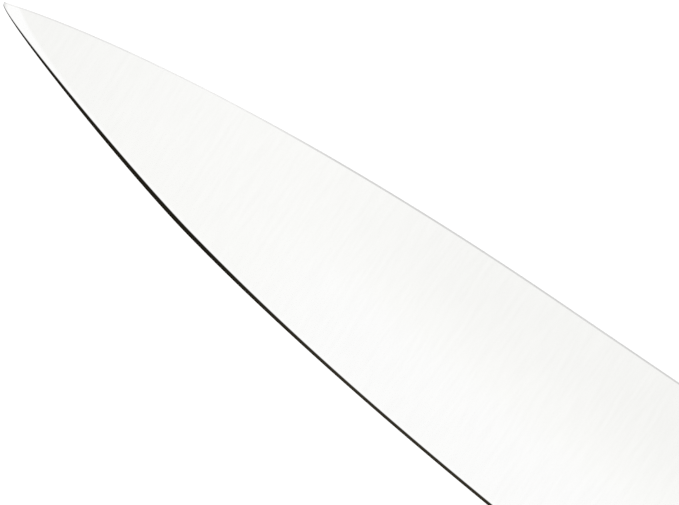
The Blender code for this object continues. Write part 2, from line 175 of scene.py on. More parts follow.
# Fineness of the meshes
BLADE_STATIONS = 150
STATION_CROWDING = 1.9  # above 1, stations crowd towards the tip
STATION_SPACE = 0.00005  # nearer stations are left out
CORNER_TURNS = 10
ARC_SEGMENTS = 12
CHOIL_SEGMENTS = 16
SCOOP_SEGMENTS = 32
BAND_SEGMENTS = 8
NECK_SEGMENTS = 14
OUTLINE_SEGMENTS = 40
TURNED_STEPS = 96
CROWN_STEPS = 4
CURVE_POINTS = 500
WELD = 0.000001  # points nearer than this are one point
SHARP_ANGLE = math.radians(28)
UNWRAP_SCALE = 10  # how much of the blade's flat unwrap one metre takes
SLOPE_STEP = 0.0005  # over which the edge's slope is read

# The photograph's framing
PICTURE_WIDTH = 679
PICTURE_HEIGHT = 505
TIP_PIXEL = (2.2, 2.5)
METRES_PER_PIXEL = 0.000107
BLADE_TILT = math.radians(34.2)  # of the straight spine below the picture's horizontal
LENS = 100  # millimetres, like the sensor
SENSOR = 36

BOLSTER_TOP = BOLSTER_HEIGHT / 2
BOLSTER_BOTTOM = -BOLSTER_HEIGHT / 2
HALF_HANDLE = HANDLE_THICKNESS / 2
HALF_TANG = TANG_THICKNESS / 2
SCALE_INNER = HALF_TANG + CAD_GAP
SCALE_DEPTH = HALF_HANDLE - SCALE_INNER
HANDLE_START = BOLSTER_LENGTH + CAD_GAP
SCOOP_LENGTH = BOLSTER_LENGTH - BOLSTER_BAND - SCOOP_FOOT
TIP_HEIGHT = BOLSTER_TOP - SPINE_DROP
HEEL_HEIGHT = BOLSTER_TOP - HEEL_DEPTH

# Where the knife's own frame lies, read from the blade node's foremost point
TIP = min((vertex.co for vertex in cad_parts["blade"].data.vertices), key=lambda spot: spot.x).copy()
HOME = Vector((TIP.x + BLADE_LENGTH, TIP.y - TIP_HEIGHT, TIP.z))


def smoothstep(value):
    """0 below 0, 1 above 1, and an even ease between."""
    held = min(max(value, 0.0), 1.0)
    return held * held * (3 - 2 * held)


def ramp(place, height, start, length):
    """A value that eases in from a start over a length."""
    return height * smoothstep((place - start) / length)


def hill(place, height, centre, spread):
    """A value that swells round one place."""
    return height * math.exp(-(((place - centre) / spread) ** 2))


def bezier(start, start_handle, end_handle, end, count=CURVE_POINTS):
    """Points along one cubic curve in the plane."""
    corners = [Vector((x, y, 0)) for x, y in (start, start_handle, end_handle, end)]
    return [(point.x, point.y) for point in interpolate_bezier(*corners, count)]


def height_reader(points):
    """A function that reads the height of a left-to-right outline at any X."""
    along = [x for x, _ in points]
    heights = [y for _, y in points]
    return lambda x: float(np.interp(x, along, heights))


# Blade and bolster


def spine_outline():
    """The blade's back: straight from the bolster, then one curve down to the tip."""
    tip_x = -BLADE_LENGTH
    along, up = SPINE_TIP_HANDLE
    return bezier(
        (tip_x, TIP_HEIGHT),
        (tip_x + along * SPINE_SWEEP, TIP_HEIGHT + up * SPINE_DROP),
        (tip_x + SPINE_REAR_HANDLE * SPINE_SWEEP, BOLSTER_TOP),
        (tip_x + SPINE_SWEEP, BOLSTER_TOP),
    )


def edge_outline():
    """The cutting edge: an upswept tip, then a long belly that runs flat at the heel."""
    tip_x = -BLADE_LENGTH
    meet_x = tip_x + TIP_SWEEP
    meet_y = TIP_HEIGHT - TIP_SWEEP_RISE
    belly = BLADE_LENGTH - TIP_SWEEP
    along, down = SWEEP_TIP_HANDLE
    lead = SWEEP_REAR_HANDLE * TIP_SWEEP
    run = BELLY_FRONT_HANDLE * belly
    sweep = bezier(
        (tip_x, TIP_HEIGHT),
        (tip_x + along * TIP_SWEEP, TIP_HEIGHT - down * TIP_SWEEP_RISE),
        (meet_x - lead, meet_y + EDGE_SLOPE * lead),
        (meet_x, meet_y),
    )
    body = bezier(
        (meet_x, meet_y),
        (meet_x + run, meet_y - EDGE_SLOPE * run),
        (-BELLY_HEEL_HANDLE * belly, HEEL_HEIGHT),
        (0.0, HEEL_HEIGHT),
    )
    return sweep + body[1:]


spine_line = height_reader(spine_outline())
edge_line = height_reader(edge_outline())
swell_at = height_reader(bezier((0, 0), (SCOOP_HOLLOW, 0), (SCOOP_CREST, 1), (1, 1)))


def spine_at(x):
    """Height of the blade's back."""
    return spine_line(x) + ramp(-x, *SPINE_LIFT_RAMP) + hill(x + BLADE_LENGTH, *SPINE_TIP_HILL)


def edge_at(x):
    """Height of the cutting edge."""
    return edge_line(x) - EDGE_DROP + ramp(x + BLADE_LENGTH, *EDGE_DROP_RAMP)


def bevel_width(from_tip):
    """Width of the sharpened bevel, seen from the side: none at the tip, widest in the sweep."""
    return BEVEL_WIDTH * (1 - math.exp(-from_tip / BEVEL_TIP_FADE)) + hill(from_tip, *BEVEL_BELLY_HILL)


def blade_profile(x):
    """Half of the blade's section at x, as (height, half thickness) from the spine down to the edge.

    After the spine's corner come the side, the bevel's shoulder and the edge.
    """
    from_tip = x + BLADE_LENGTH
    top = spine_at(x)
    edge = edge_at(x)
    depth = top - edge
    taper = (HEEL_THICKNESS - TIP_THICKNESS) * from_tip / BLADE_LENGTH
    half = (TIP_THICKNESS + taper) / 2
    corner = min(SPINE_CORNER, EITHER_OF_THICKNESS * half, CORNER_OF_DEPTH * depth)
    bevel = min(bevel_width(from_tip), BEVEL_OF_DEPTH * depth)
    behind = min(bevel * math.tan(EDGE_ANGLE), EITHER_OF_THICKNESS * half)
    profile = [(top, 0.0)]
    for i in range(CORNER_TURNS + 1):
        turn = math.pi / 2 * i / CORNER_TURNS
        profile.append((top - corner * (1 - math.cos(turn)), half - corner * (1 - math.sin(turn))))
    side_start = top - corner
    shoulder = edge + bevel
    side_count = 2 * ARC_SEGMENTS + 2 - CORNER_TURNS
    for i in range(1, side_count + 1):
        share = i / side_count
        height = side_start + (shoulder - side_start) * share
        profile.append((height, half + (behind - half) * share))
    return profile + [(edge, 0.0)]


def blade_half(x, height):
    """Half the blade's thickness at a place on its side."""
    rising = blade_profile(x)[-2:0:-1]
    return float(np.interp(height, [row[0] for row in rising], [row[1] for row in rising]))


def handle_side(depth):
    """Half thickness of the handle at a depth below its outline, with its edge rounded."""
    short = min(max(EDGE_RADIUS - depth, 0.0), EDGE_RADIUS)
    return HALF_HANDLE - EDGE_RADIUS + math.sqrt(EDGE_RADIUS**2 - short**2)


def neck_share(from_front):
    """How much of the scale's thickness is left at a distance from the bolster."""
    return 1 - NECK_IN / SCALE_DEPTH * (1 - smoothstep(from_front / NECK_LENGTH))


def bolster_side(depth):
    """Half thickness of the bolster at a depth below its outline. It meets the scales flush."""
    return SCALE_INNER + (handle_side(depth) - SCALE_INNER) * neck_share(0)


def underside_at(x):
    """Bottom of the steel behind the heel: a quarter ellipse up to the bolster, then straight."""
    if x >= CHOIL_LENGTH:
        return BOLSTER_BOTTOM
    across = 1 - x / CHOIL_LENGTH
    step = BOLSTER_BOTTOM - HEEL_HEIGHT
    return BOLSTER_BOTTOM - step * (1 - math.sqrt(max(1 - across * across, 0.0)))


def lean(foot):
    """How far ahead of its foot a section starts at the spine, to lean like the bolster's front."""
    rise = smoothstep((foot - SCOOP_FOOT + LEAN_LENGTH) / LEAN_LENGTH)
    fall = smoothstep((foot - SCOOP_FOOT - SCOOP_LENGTH) / BOLSTER_BAND)
    return SCOOP_SLANT * (rise - fall)


def bolster_rows(top, bottom):
    """Heights at which the bolster's rounded section is drawn, one for each point of blade_profile."""
    radius = min(EDGE_RADIUS, ROUNDING_OF_BOLSTER * (top - bottom))
    turns = [math.pi / 2 * i / ARC_SEGMENTS for i in range(ARC_SEGMENTS + 1)]
    upper = [top - radius * (1 - math.cos(a)) for a in turns]
    lower = [bottom + radius * (1 - math.cos(a)) for a in reversed(turns)]
    return [top, *upper, (top + bottom) / 2, *lower, bottom]


def section_rows(foot):
    """Heights of a section's points from the spine down. They move to the bolster's behind the heel."""
    blade = [height for height, _ in blade_profile(min(foot, 0.0))]
    if foot <= 0:
        return blade
    top = blade[0]
    bottom = underside_at(foot)
    stretch = (top - bottom) / (top - blade[-2])
    drawn = [top - (top - height) * stretch for height in blade[:-1]] + [bottom]
    reach = smoothstep((foot - SCOOP_FOOT) / (SCOOP_SETTLE * SCOOP_LENGTH))
    return [a + (b - a) * reach for a, b in zip(drawn, bolster_rows(top, bottom))]


def ring_at(foot):
    """The section whose lowest point lies at foot, as points round the steel."""
    rows = section_rows(foot)
    top = rows[0]
    bottom = rows[-1]
    swell = swell_at((foot - SCOOP_FOOT) / SCOOP_LENGTH)
    one_side = []
    for row, height in enumerate(rows):
        down = (top - height) / (top - bottom)
        x = foot - lean(foot) * (1 - down * down)
        half = 0.0
        if 0 < row < len(rows) - 1:
            thin = blade_half(min(x, 0.0), height)
            thick = bolster_side(min(top - height, height - bottom))
            half = thin + (thick - thin) * swell
        one_side.append(Vector((x, height, half)))
    other_side = [Vector((point.x, point.y, -point.z)) for point in one_side[-2:0:-1]]
    return one_side + other_side


def stations():
    """Where the feet of the sections lie, crowded at the tip, the choil and the bolster's crest."""
    shares = [(i / BLADE_STATIONS) ** STATION_CROWDING for i in range(1, BLADE_STATIONS + 1)]
    blade = [-BLADE_LENGTH * (1 - share) for share in shares]
    turns = [math.pi / 2 * i / CHOIL_SEGMENTS for i in range(1, CHOIL_SEGMENTS + 1)]
    choil = [CHOIL_LENGTH * (1 - math.cos(a)) for a in turns]
    curve = bezier((0, 0), (SCOOP_HOLLOW, 0), (SCOOP_CREST, 1), (1, 1), SCOOP_SEGMENTS + 1)
    scoop = [SCOOP_FOOT + SCOOP_LENGTH * share for share, _ in curve]
    band = [BOLSTER_LENGTH - BOLSTER_BAND * i / BAND_SEGMENTS for i in range(BAND_SEGMENTS)]
    kept = []
    for foot in sorted(blade + choil + scoop + band):
        if not kept or foot - kept[-1] > STATION_SPACE:
            kept.append(foot)
    return kept


def face_painted_reflection(x, height):
    """Painted reflection on the ground face, 0 to 1: even near the tip, then duller at the back than the
    edge.
    """
    from_tip = x + BLADE_LENGTH
    top = spine_at(x)
    down = (top - height) / max(top - edge_at(x), WELD)
    body = FACE_REFLECTION_BASE + hill(from_tip, *FACE_TIP_HILL)
    at_back = sum(ramp(from_tip, *values) for values in FACE_BACK_RAMPS)
    at_edge = ramp(from_tip, *FACE_EDGE_RAMP)
    across = ramp(down, *FACE_ACROSS_RAMP)
    return body + (1 - across) * at_back + across * at_edge


def spine_painted_light(x, _height):
    """How bright the spine is: the steel's level with painted shade at the very point, a painted highlight
    in its curve, and painted shade behind it.
    """
    from_tip = x + BLADE_LENGTH
    hills = sum(hill(from_tip, *values) for values in SPINE_HILLS)
    return SPINE_BRIGHTNESS + hills + ramp(from_tip, *SPINE_REAR_RAMP)


def above_bevel(x, height):
    """Distance of a place on the side from the bevel's shoulder, square to the edge."""
    slope = (edge_at(x + SLOPE_STEP) - edge_at(x - SLOPE_STEP)) / (2 * SLOPE_STEP)
    from_edge = (height - edge_at(x)) / math.hypot(1, slope)
    return from_edge - bevel_width(x + BLADE_LENGTH)


def inside_glint(x, height):
    """How far a place lies inside the painted highlight above the bevel, a bright band which widens to take
    in the tip.
    """
    width = GLINT + GLINT_TIP_EXTRA * math.exp(-(x + BLADE_LENGTH) / GLINT_TIP_FADE)
    return width - above_bevel(x, height)


def steel_mesh(materials):
    """The blade and bolster: one skin with a finish for each part of its section."""
    bm = bmesh.new()
    # values the shaders read: the face's painted reflection, the spine's painted light, and distances that
    # place the painted dark band and painted highlight by the bevel
    readings = {
        bm.verts.layers.float.new("painted_reflection"): face_painted_reflection,
        bm.verts.layers.float.new("spine_painted_light"): spine_painted_light,
        bm.verts.layers.float.new("above_bevel"): above_bevel,
        bm.verts.layers.float.new("inside_glint"): inside_glint,
    }
    unwrap = bm.loops.layers.uv.new("UVMap")
    feet = stations()
    rings = [ring_at(foot) for foot in feet]
    count = len(rings[0])
    last_row = count // 2
    pole = bm.verts.new((-BLADE_LENGTH, TIP_HEIGHT, 0))
    rows = [[bm.verts.new(point) for point in ring] for ring in rings]
    for vert in bm.verts:
        for layer, reading in readings.items():
            vert[layer] = reading(min(vert.co.x, 0.0), vert.co.y)

    def finish_of(i, foot):
        """Index of the finish of the band that starts at point i of a ring."""
        band = min(i, count - 1 - i)
        lowest = band == last_row - 1
        if foot > SCOOP_FOOT or (lowest and foot > 0):
            return materials.index("bolster")
        if lowest:
            return materials.index("bevel")
        if band <= CORNER_TURNS:
            return materials.index("spine")
        return materials.index("face")

    for i in range(count):
        face = bm.faces.new((pole, rows[0][(i + 1) % count], rows[0][i]))
        face.material_index = finish_of(i, feet[0])
    for foot, near, far in zip(feet[1:], rows, rows[1:]):
        for i in range(count):
            j = (i + 1) % count
            face = bm.faces.new((near[i], near[j], far[j], far[i]))
            face.material_index = finish_of(i, foot)
    cap = bm.faces.new(rows[-1])
    cap.material_index = materials.index("bolster")
    bmesh.ops.recalc_face_normals(bm, faces=bm.faces)
    for face in bm.faces:
        for loop in face.loops:
            loop[unwrap].uv = loop.vert.co.xy * UNWRAP_SCALE
    return bm


# Handle


def handle_knots(inset):
    """The handle's outline as (place, height, heading in degrees): along the back, then the belly."""
    top = BOLSTER_TOP - inset
    bottom = BOLSTER_BOTTOM + inset
    return [
        (0.0, top, 1),
        (0.40 * HANDLE_LENGTH, top + BACK_RISE, -1),
        (0.80 * HANDLE_LENGTH, top - SHOULDER_FALL, -11),
        (HANDLE_LENGTH - inset, -BUTT_FALL, -95),
        (0.925 * HANDLE_LENGTH, bottom - BEAK_DROP, -177),
        (0.62 * HANDLE_LENGTH, bottom + WAIST_RISE, -181),
        (0.27 * HANDLE_LENGTH, bottom - BELLY_DROP, -180),
        (0.0, bottom, -184),
    ]


def along_heading(start, heading, distance):
    """The point at a distance from another, along a heading in degrees."""
    turn = math.radians(heading)
    return (start[0] + math.cos(turn) * distance, start[1] + math.sin(turn) * distance)


def handle_outline(inset=0.0):
    """Points of the handle's outline, each stretch a cubic that leaves and arrives along its headings."""
    knots = handle_knots(inset)
    points = [knots[0][:2]]
    for (ax, ay, leaving), (bx, by, arriving) in zip(knots, knots[1:]):
        pull = OUTLINE_PULL * math.hypot(bx - ax, by - ay)
        handle_a = along_heading((ax, ay), leaving, pull)
        handle_b = along_heading((bx, by), arriving, -pull)
        points += bezier((ax, ay), handle_a, handle_b, (bx, by), OUTLINE_SEGMENTS + 1)[1:]
    return points


def plate(points, low, high):
    """A prism over an outline, from one height to another."""
    bm = bmesh.new()
    floor = [bm.verts.new((x, y, low)) for x, y in points]
    roof = [bm.verts.new((x, y, high)) for x, y in points]
    count = len(points)
    bm.faces.new(floor)
    bm.faces.new(list(reversed(roof)))
    for i in range(count):
        j = (i + 1) % count
        bm.faces.new((floor[i], roof[i], roof[j], floor[j]))
    bmesh.ops.recalc_face_normals(bm, faces=bm.faces)
    return bm


def scale_mesh(side):
    """One handle scale, drawn from its front end. Side is 1 for the upper one and -1 for the lower one."""
    front = JOINT - CAD_GAP
    outline = [(front, BOLSTER_TOP - TRIM), *handle_outline(TRIM), (front, BOLSTER_BOTTOM + TRIM)]
    bm = plate(outline, HALF_TANG + JOINT, HALF_HANDLE)
    rim = []
    for edge in bm.edges:
        ends = [vert.co for vert in edge.verts]
        on_face = all(end.z > HALF_HANDLE - WELD for end in ends)
        at_front = all(end.x < front + WELD for end in ends)
        if on_face and not at_front:
            rim.append(edge)
    bmesh.ops.bevel(
        bm, geom=rim, offset=EDGE_RADIUS, segments=ARC_SEGMENTS, profile=0.5, affect="EDGES"
    )
    for i in range(1, NECK_SEGMENTS + 1):
        cut = (NECK_LENGTH * i / NECK_SEGMENTS, 0, 0)
        everything = bm.verts[:] + bm.edges[:] + bm.faces[:]
        bmesh.ops.bisect_plane(bm, geom=everything, plane_co=cut, plane_no=(1, 0, 0))
    for vert in bm.verts:
        if vert.co.z > SCALE_INNER:
            vert.co.z = SCALE_INNER + (vert.co.z - SCALE_INNER) * neck_share(vert.co.x)
    if side < 0:
        bmesh.ops.scale(bm, vec=(1, 1, -1), verts=bm.verts)
        bmesh.ops.reverse_faces(bm, faces=bm.faces)
    return bm


def turned_mesh(profile):
    """A mesh turned about Z, from (radius, height) points that run down its outer side."""
    bm = bmesh.new()
    verts = [bm.verts.new((radius, 0, height)) for radius, height in profile]
    edges = [bm.edges.new(pair) for pair in zip(verts, verts[1:])]
    bmesh.ops.spin(
        bm, geom=verts + edges, cent=(0, 0, 0), axis=(0, 0, 1), angle=math.tau, steps=TURNED_STEPS
    )
    bmesh.ops.remove_doubles(bm, verts=bm.verts, dist=WELD)
    bmesh.ops.recalc_face_normals(bm, faces=bm.faces)
    return bm


def rivet_places():
    """Where the rivets stand, in the scales' frame: halfway between the back and the belly."""
    outline = handle_outline()
    turn = max(range(len(outline)), key=lambda i: outline[i][0])
    back = height_reader(outline[: turn + 1])
    belly = height_reader(outline[: turn - 1 : -1])
    reach = HANDLE_LENGTH - RIVET_FRONT_ROOM - RIVET_BUTT_ROOM
    places = []
    for i in range(RIVET_COUNT):
        along = RIVET_FRONT_ROOM + reach * i / (RIVET_COUNT - 1)
        places.append(Vector((along, (back(along) + belly(along)) / 2, 0)))
    return places


def rivet_head_mesh():
    """A flush rivet head with a broken edge, faintly crowned by the buff, on the stub of its shank."""
    face = HALF_HANDLE - RIVET_HEAD_SUNK
    flat = RIVET_HEAD_RADIUS - HEAD_CHAMFER
    shares = [i / CROWN_STEPS for i in range(CROWN_STEPS + 1)]
    crown = [(flat * share, face - HEAD_CROWN * share * share) for share in shares]
    seat = face - RIVET_HEAD_THICKNESS
    rest = [
        (RIVET_HEAD_RADIUS, face - HEAD_CHAMFER),
        (RIVET_HEAD_RADIUS, seat),
        (SHANK_RADIUS, seat),
        (SHANK_RADIUS, 0.0),
        (0.0, 0.0),
    ]
    return turned_mesh(crown + rest)


# Materials


def new_material(name):
    """An empty node material with a Principled shader, and its tree."""
    made = bpy.data.materials.new(name)
    made.use_nodes = True
    tree = made.node_tree
    return made, tree, tree.nodes["Principled BSDF"]


def add(tree, kind, **settings):
    """A node with properties and inputs set. Inputs are named with spaces as underscores."""
    made = tree.nodes.new(kind)
    for key, value in settings.items():
        if hasattr(made, key):
            setattr(made, key, value)
        else:
            made.inputs[key.replace("_", " ")].default_value = value
    return made


def stretched_noise(tree, pitch, detail, rough):
    """Noise in the object's own metres, with one pitch for each axis."""
    place = add(tree, "ShaderNodeTexCoord")
    mapping = add(tree, "ShaderNodeMapping", Scale=[1 / size for size in pitch])
    noise = add(tree, "ShaderNodeTexNoise", Scale=1.0, Detail=detail, Roughness=rough)
    tree.links.new(place.outputs["Object"], mapping.inputs["Vector"])
    tree.links.new(mapping.outputs["Vector"], noise.inputs["Vector"])
    return noise.outputs["Fac"]


def along_knife(tree):
    """The place along the knife, 0 at the heel."""
    place = add(tree, "ShaderNodeTexCoord")
    split = add(tree, "ShaderNodeSeparateXYZ")
    tree.links.new(place.outputs["Object"], split.inputs["Vector"])
    return split.outputs["X"]


def remap(tree, value, low, high, out_low, out_high):
    """Turns one range of a value into another, held at its ends."""
    made = add(tree, "ShaderNodeMapRange")
    for name, number in zip(("From Min", "From Max", "To Min", "To Max"), (low, high, out_low, out_high)):
        made.inputs[name].default_value = number
    tree.links.new(value, made.inputs["Value"])
    return made.outputs["Result"]


def arithmetic(tree, operation, first, second):
    """One Math node on two values or sockets."""
    made = add(tree, "ShaderNodeMath", operation=operation)
    for socket, value in zip(made.inputs, (first, second)):
        if isinstance(value, (int, float)):
            socket.default_value = value
        else:
            tree.links.new(value, socket)
    return made.outputs["Value"]


def tinted(tree, colour, strength):
    """A colour times a changing strength."""
    made = add(tree, "ShaderNodeVectorMath", operation="SCALE")
    made.inputs[0].default_value = colour
    tree.links.new(strength, made.inputs["Scale"])
    return made.outputs["Vector"]


def eased(tree, value, low, high):
    """0 where a value is below low, 1 where it is above high, and an even ease between."""
    made = add(tree, "ShaderNodeMapRange", interpolation_type="SMOOTHSTEP", From_Min=low, From_Max=high)
    tree.links.new(value, made.inputs["Value"])
    return made.outputs["Result"]


def blended(tree, share, low, high):
    """A colour between two colours or sockets, by a share from 0 to 1."""
    made = add(tree, "ShaderNodeMix", data_type="RGBA")
    tree.links.new(share, made.inputs[0])
    for socket, value in zip([s for s in made.inputs if s.type == "RGBA"], (low, high)):
        if isinstance(value, tuple):
            socket.default_value = (*value, 1)
        else:
            tree.links.new(value, socket)
    return [s for s in made.outputs if s.type == "RGBA"][0]


def bumped(tree, shader, height, strength, depth):
    """Bump from a height socket. Depth is the real height of the marks."""
    made = add(tree, "ShaderNodeBump", Strength=strength, Distance=depth)
    tree.links.new(height, made.inputs["Height"])
    tree.links.new(made.outputs["Normal"], shader.inputs["Normal"])


def new_steel(name):
    """A metal, and its tree and shader."""
    made, tree, shader = new_material(name)
    shader.inputs["Metallic"].default_value = 1.0
    return made, tree, shader


def scuffed(tree, shader, marks, roughness, strength, depth):
    """Roughness between two values and bump, both by the marks of a finish."""
    tree.links.new(remap(tree, marks, *MARK_RANGE, *roughness), shader.inputs["Roughness"])
    bumped(tree, shader, marks, strength, depth)


def read(tree, name):
    """A value that the blade's points carry."""
    return add(tree, "ShaderNodeAttribute", attribute_name=name).outputs["Fac"]


def face_colour(tree):
    """The ground face's colour by its painted reflection."""
    colour = add(tree, "ShaderNodeValToRGB")
    tree.links.new(read(tree, "painted_reflection"), colour.inputs["Fac"])
    for place, *_ in FACE_STOPS[1:-1]:
        colour.color_ramp.elements.new(place)
    for stop, (place, red_green, blue) in zip(colour.color_ramp.elements, FACE_STOPS):
        stop.position = place
        stop.color = (red_green, red_green, blue, 1)
    return colour.outputs["Color"]


def ground_face():
    """Finely ground steel: hair-fine marks across the blade, broader passes of the wheel, and painted
    light: a soft reflection, a bright band above the bevel and a dark band at it.
    """
    made, tree, shader = new_steel("ground_face")
    shader.inputs["Anisotropic"].default_value = 0.55
    tangent = add(tree, "ShaderNodeTangent", direction_type="UV_MAP", uv_map="UVMap")
    tree.links.new(tangent.outputs["Tangent"], shader.inputs["Tangent"])
    hairs = stretched_noise(tree, pitch=(0.00011, 0.0060, 0.0060), detail=4.0, rough=0.7)
    passes = stretched_noise(tree, pitch=(0.00045, 0.0036, 0.0036), detail=0.6, rough=0.5)
    marks = arithmetic(
        tree,
        "ADD",
        remap(tree, hairs, *FACE_RANGE, -0.004, 0.004),
        remap(tree, passes, *FACE_RANGE, 0.9895, 1.0105),
    )
    ground = add(tree, "ShaderNodeVectorMath", operation="SCALE")
    tree.links.new(face_colour(tree), ground.inputs[0])
    tree.links.new(marks, ground.inputs["Scale"])
    # painted highlight: a bright band above the bevel
    lit = eased(tree, read(tree, "inside_glint"), *GLINT_EASE)
    glinting = blended(tree, lit, ground.outputs["Vector"], GLINT_COLOUR)
    # painted dark reflection of the bevel, run on just above it
    past_dark_band = eased(tree, read(tree, "above_bevel"), 0.0, PAINTED_DARK_BAND)
    tree.links.new(blended(tree, past_dark_band, BEVEL_PAINTED_REFLECTION, glinting), shader.inputs["Base Color"])
    scuffed(tree, shader, hairs, roughness=(0.17, 0.25), strength=0.12, depth=0.000005)
    return made


def honed_bevel():
    """The sharpened bevel: stoned steel with fine scratches across it, dark by a painted reflection."""
    made, tree, shader = new_steel("honed_bevel")
    marks = stretched_noise(tree, pitch=(0.00006, 0.0008, 0.0008), detail=4.0, rough=0.7)
    # the bevel's painted dark reflection turns lighter towards the heel
    rear = [place - BLADE_LENGTH for place in BEVEL_REAR]
    strength = arithmetic(
        tree,
        "MULTIPLY",
        remap(tree, marks, *MARK_RANGE, 0.75, 1.30),
        remap(tree, along_knife(tree), *rear, 1.0, BEVEL_REAR_GAIN),
    )
    tree.links.new(tinted(tree, BEVEL_PAINTED_REFLECTION, strength), shader.inputs["Base Color"])
    scuffed(tree, shader, marks, roughness=(0.16, 0.30), strength=0.4, depth=0.000005)
    return made


def spine_steel():
    """The spine, finished along its length on a belt, with painted highlight and painted shade along it."""
    made, tree, shader = new_steel("spine_steel")
    marks = stretched_noise(tree, pitch=(0.0060, 0.00012, 0.00012), detail=4.0, rough=0.7)
    worn = remap(tree, marks, *MARK_RANGE, 0.95, 1.05)
    # painted highlight and painted shade along the spine, times the belt's marks
    strength = arithmetic(tree, "MULTIPLY", read(tree, "spine_painted_light"), worn)
    tree.links.new(tinted(tree, SPINE_TINT, strength), shader.inputs["Base Color"])
    scuffed(tree, shader, marks, roughness=(0.24, 0.38), strength=0.4, depth=0.000006)
    return made


def bolster_steel():
    """Buffed steel of the scoop and bolster, with a few soft wheel marks left in it."""
    made, tree, shader = new_steel("bolster_steel")
    marks = stretched_noise(tree, pitch=(0.0016, 0.00020, 0.00020), detail=3.0, rough=0.6)
    cloud = stretched_noise(tree, pitch=(0.004, 0.004, 0.004), detail=2.0, rough=0.5)
    strength = remap(tree, cloud, *MARK_RANGE, 0.68, 0.74)
    tree.links.new(tinted(tree, STEEL_TINT, strength), shader.inputs["Base Color"])
    scuffed(tree, shader, marks, roughness=(0.11, 0.20), strength=0.15, depth=0.000004)
    return made


def belted_steel(name, pitch, brightness, roughness, strength, depth):
    """Steel with the fine straight lines of a belt, which colour it, roughen it and cut into it."""
    made, tree, shader = new_steel(name)
    marks = stretched_noise(tree, pitch, detail=4.0, rough=0.7)
    shine = remap(tree, marks, *MARK_RANGE, *brightness)
    tree.links.new(tinted(tree, STEEL_TINT, shine), shader.inputs["Base Color"])
    scuffed(tree, shader, marks, roughness, strength, depth)
    return made


def tang_steel():
    """Edge of the tang, belted flush with the scales."""
    return belted_steel(
        "tang_steel",
        pitch=(0.0070, 0.0070, 0.00010),
        brightness=(0.60, 0.70),
        roughness=(0.22, 0.38),
        strength=0.4,
        depth=0.000008,
    )


def rivet_steel():
    """Rivet heads, ground flush along the handle and lightly buffed."""
    return belted_steel(
        "rivet_steel",
        pitch=(0.0040, 0.00012, 0.0040),
        brightness=(0.66, 0.76),
        roughness=(0.18, 0.32),
        strength=0.3,
        depth=0.000006,
    )


def handle_black():
    """Dense black plastic: a satin from the belt, faint lengthwise hairlines and a fine moulded speckle."""
    made, tree, shader = new_material("handle_black")
    shader.inputs["IOR"].default_value = 1.48
    shader.inputs["Specular IOR Level"].default_value = 0.35
    hairs = stretched_noise(tree, pitch=(0.0080, 0.00014, 0.00014), detail=4.0, rough=0.7)
    speckle = stretched_noise(tree, pitch=(0.00035, 0.00035, 0.00035), detail=2.0, rough=0.5)
    rubbed = stretched_noise(tree, pitch=(0.018, 0.010, 0.010), detail=2.0, rough=0.5)
    strength = arithmetic(
        tree,
        "MULTIPLY",
        remap(tree, hairs, *MARK_RANGE, 0.85, 1.20),
        remap(tree, rubbed, *MARK_RANGE, 0.008, 0.012),
    )
    tree.links.new(tinted(tree, PLASTIC_TINT, strength), shader.inputs["Base Color"])
    satin = arithmetic(
        tree,
        "ADD",
        remap(tree, hairs, *MARK_RANGE, 0.26, 0.36),
        remap(tree, rubbed, *MARK_RANGE, -0.03, 0.06),
    )
    tree.links.new(satin, shader.inputs["Roughness"])
    height = arithmetic(
        tree,
        "ADD",
        arithmetic(tree, "MULTIPLY", hairs, 0.6),
        arithmetic(tree, "MULTIPLY", speckle, 0.4),
    )
    bumped(tree, shader, height, strength=0.35, depth=0.00001)
    return made


# Putting the pieces in place


def shade(bm):
    """Smooth shading, broken at sharp edges and where one finish meets another."""
    for face in bm.faces:
        face.smooth = True
    for edge in bm.edges:
        same = len({face.material_index for face in edge.link_faces}) == 1
        edge.smooth = same and edge.calc_face_angle(0.0) < SHARP_ANGLE


def piece(name, bm, finishes, replaced, offset=(0, 0, 0)):
    """A shaded object in the knife's frame that rides on the root and stands for CAD nodes."""
    shade(bm)
    mesh = bpy.data.meshes.new(name)
    bm.to_mesh(mesh)
    bm.free()
    for finish in finishes:
        mesh.materials.append(finish)
    made = bpy.data.objects.new(name, mesh)
    bpy.context.scene.collection.objects.link(made)
    made.location = HOME + Vector(offset)
    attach(made, "root")
    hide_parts(*replaced)
    return made


def drilled(made, cutters):
    """Takes the cutters out of a piece and keeps the result as its mesh."""
    for cutter in cutters:
        cut = made.modifiers.new("drill", "BOOLEAN")
        cut.operation = "DIFFERENCE"
        cut.object = cutter
    graph = bpy.context.evaluated_depsgraph_get()
    mesh = bpy.data.meshes.new_from_object(made.evaluated_get(graph))
    made.modifiers.clear()
    made.data = mesh
    mesh.shade_smooth()
    mesh.set_sharp_from_angle(angle=SHARP_ANGLE)


def rivet_cutters():
    """Cylinders that open the rivets' holes through both scales."""
    made = []
    radius = RIVET_HEAD_RADIUS + JOINT
    reach = DRILL_REACH * HALF_HANDLE
    for spot in rivet_places():
        mesh = bpy.data.meshes.new("drill")
        bm = turned_mesh([(0, reach), (radius, reach), (radius, -reach), (0, -reach)])
        bm.to_mesh(mesh)
        bm.free()
        cutter = bpy.data.objects.new("drill", mesh)
        bpy.context.scene.collection.objects.link(cutter)
        cutter.location = HOME + Vector((HANDLE_START, 0, 0)) + spot
        made.append(cutter)
    return made


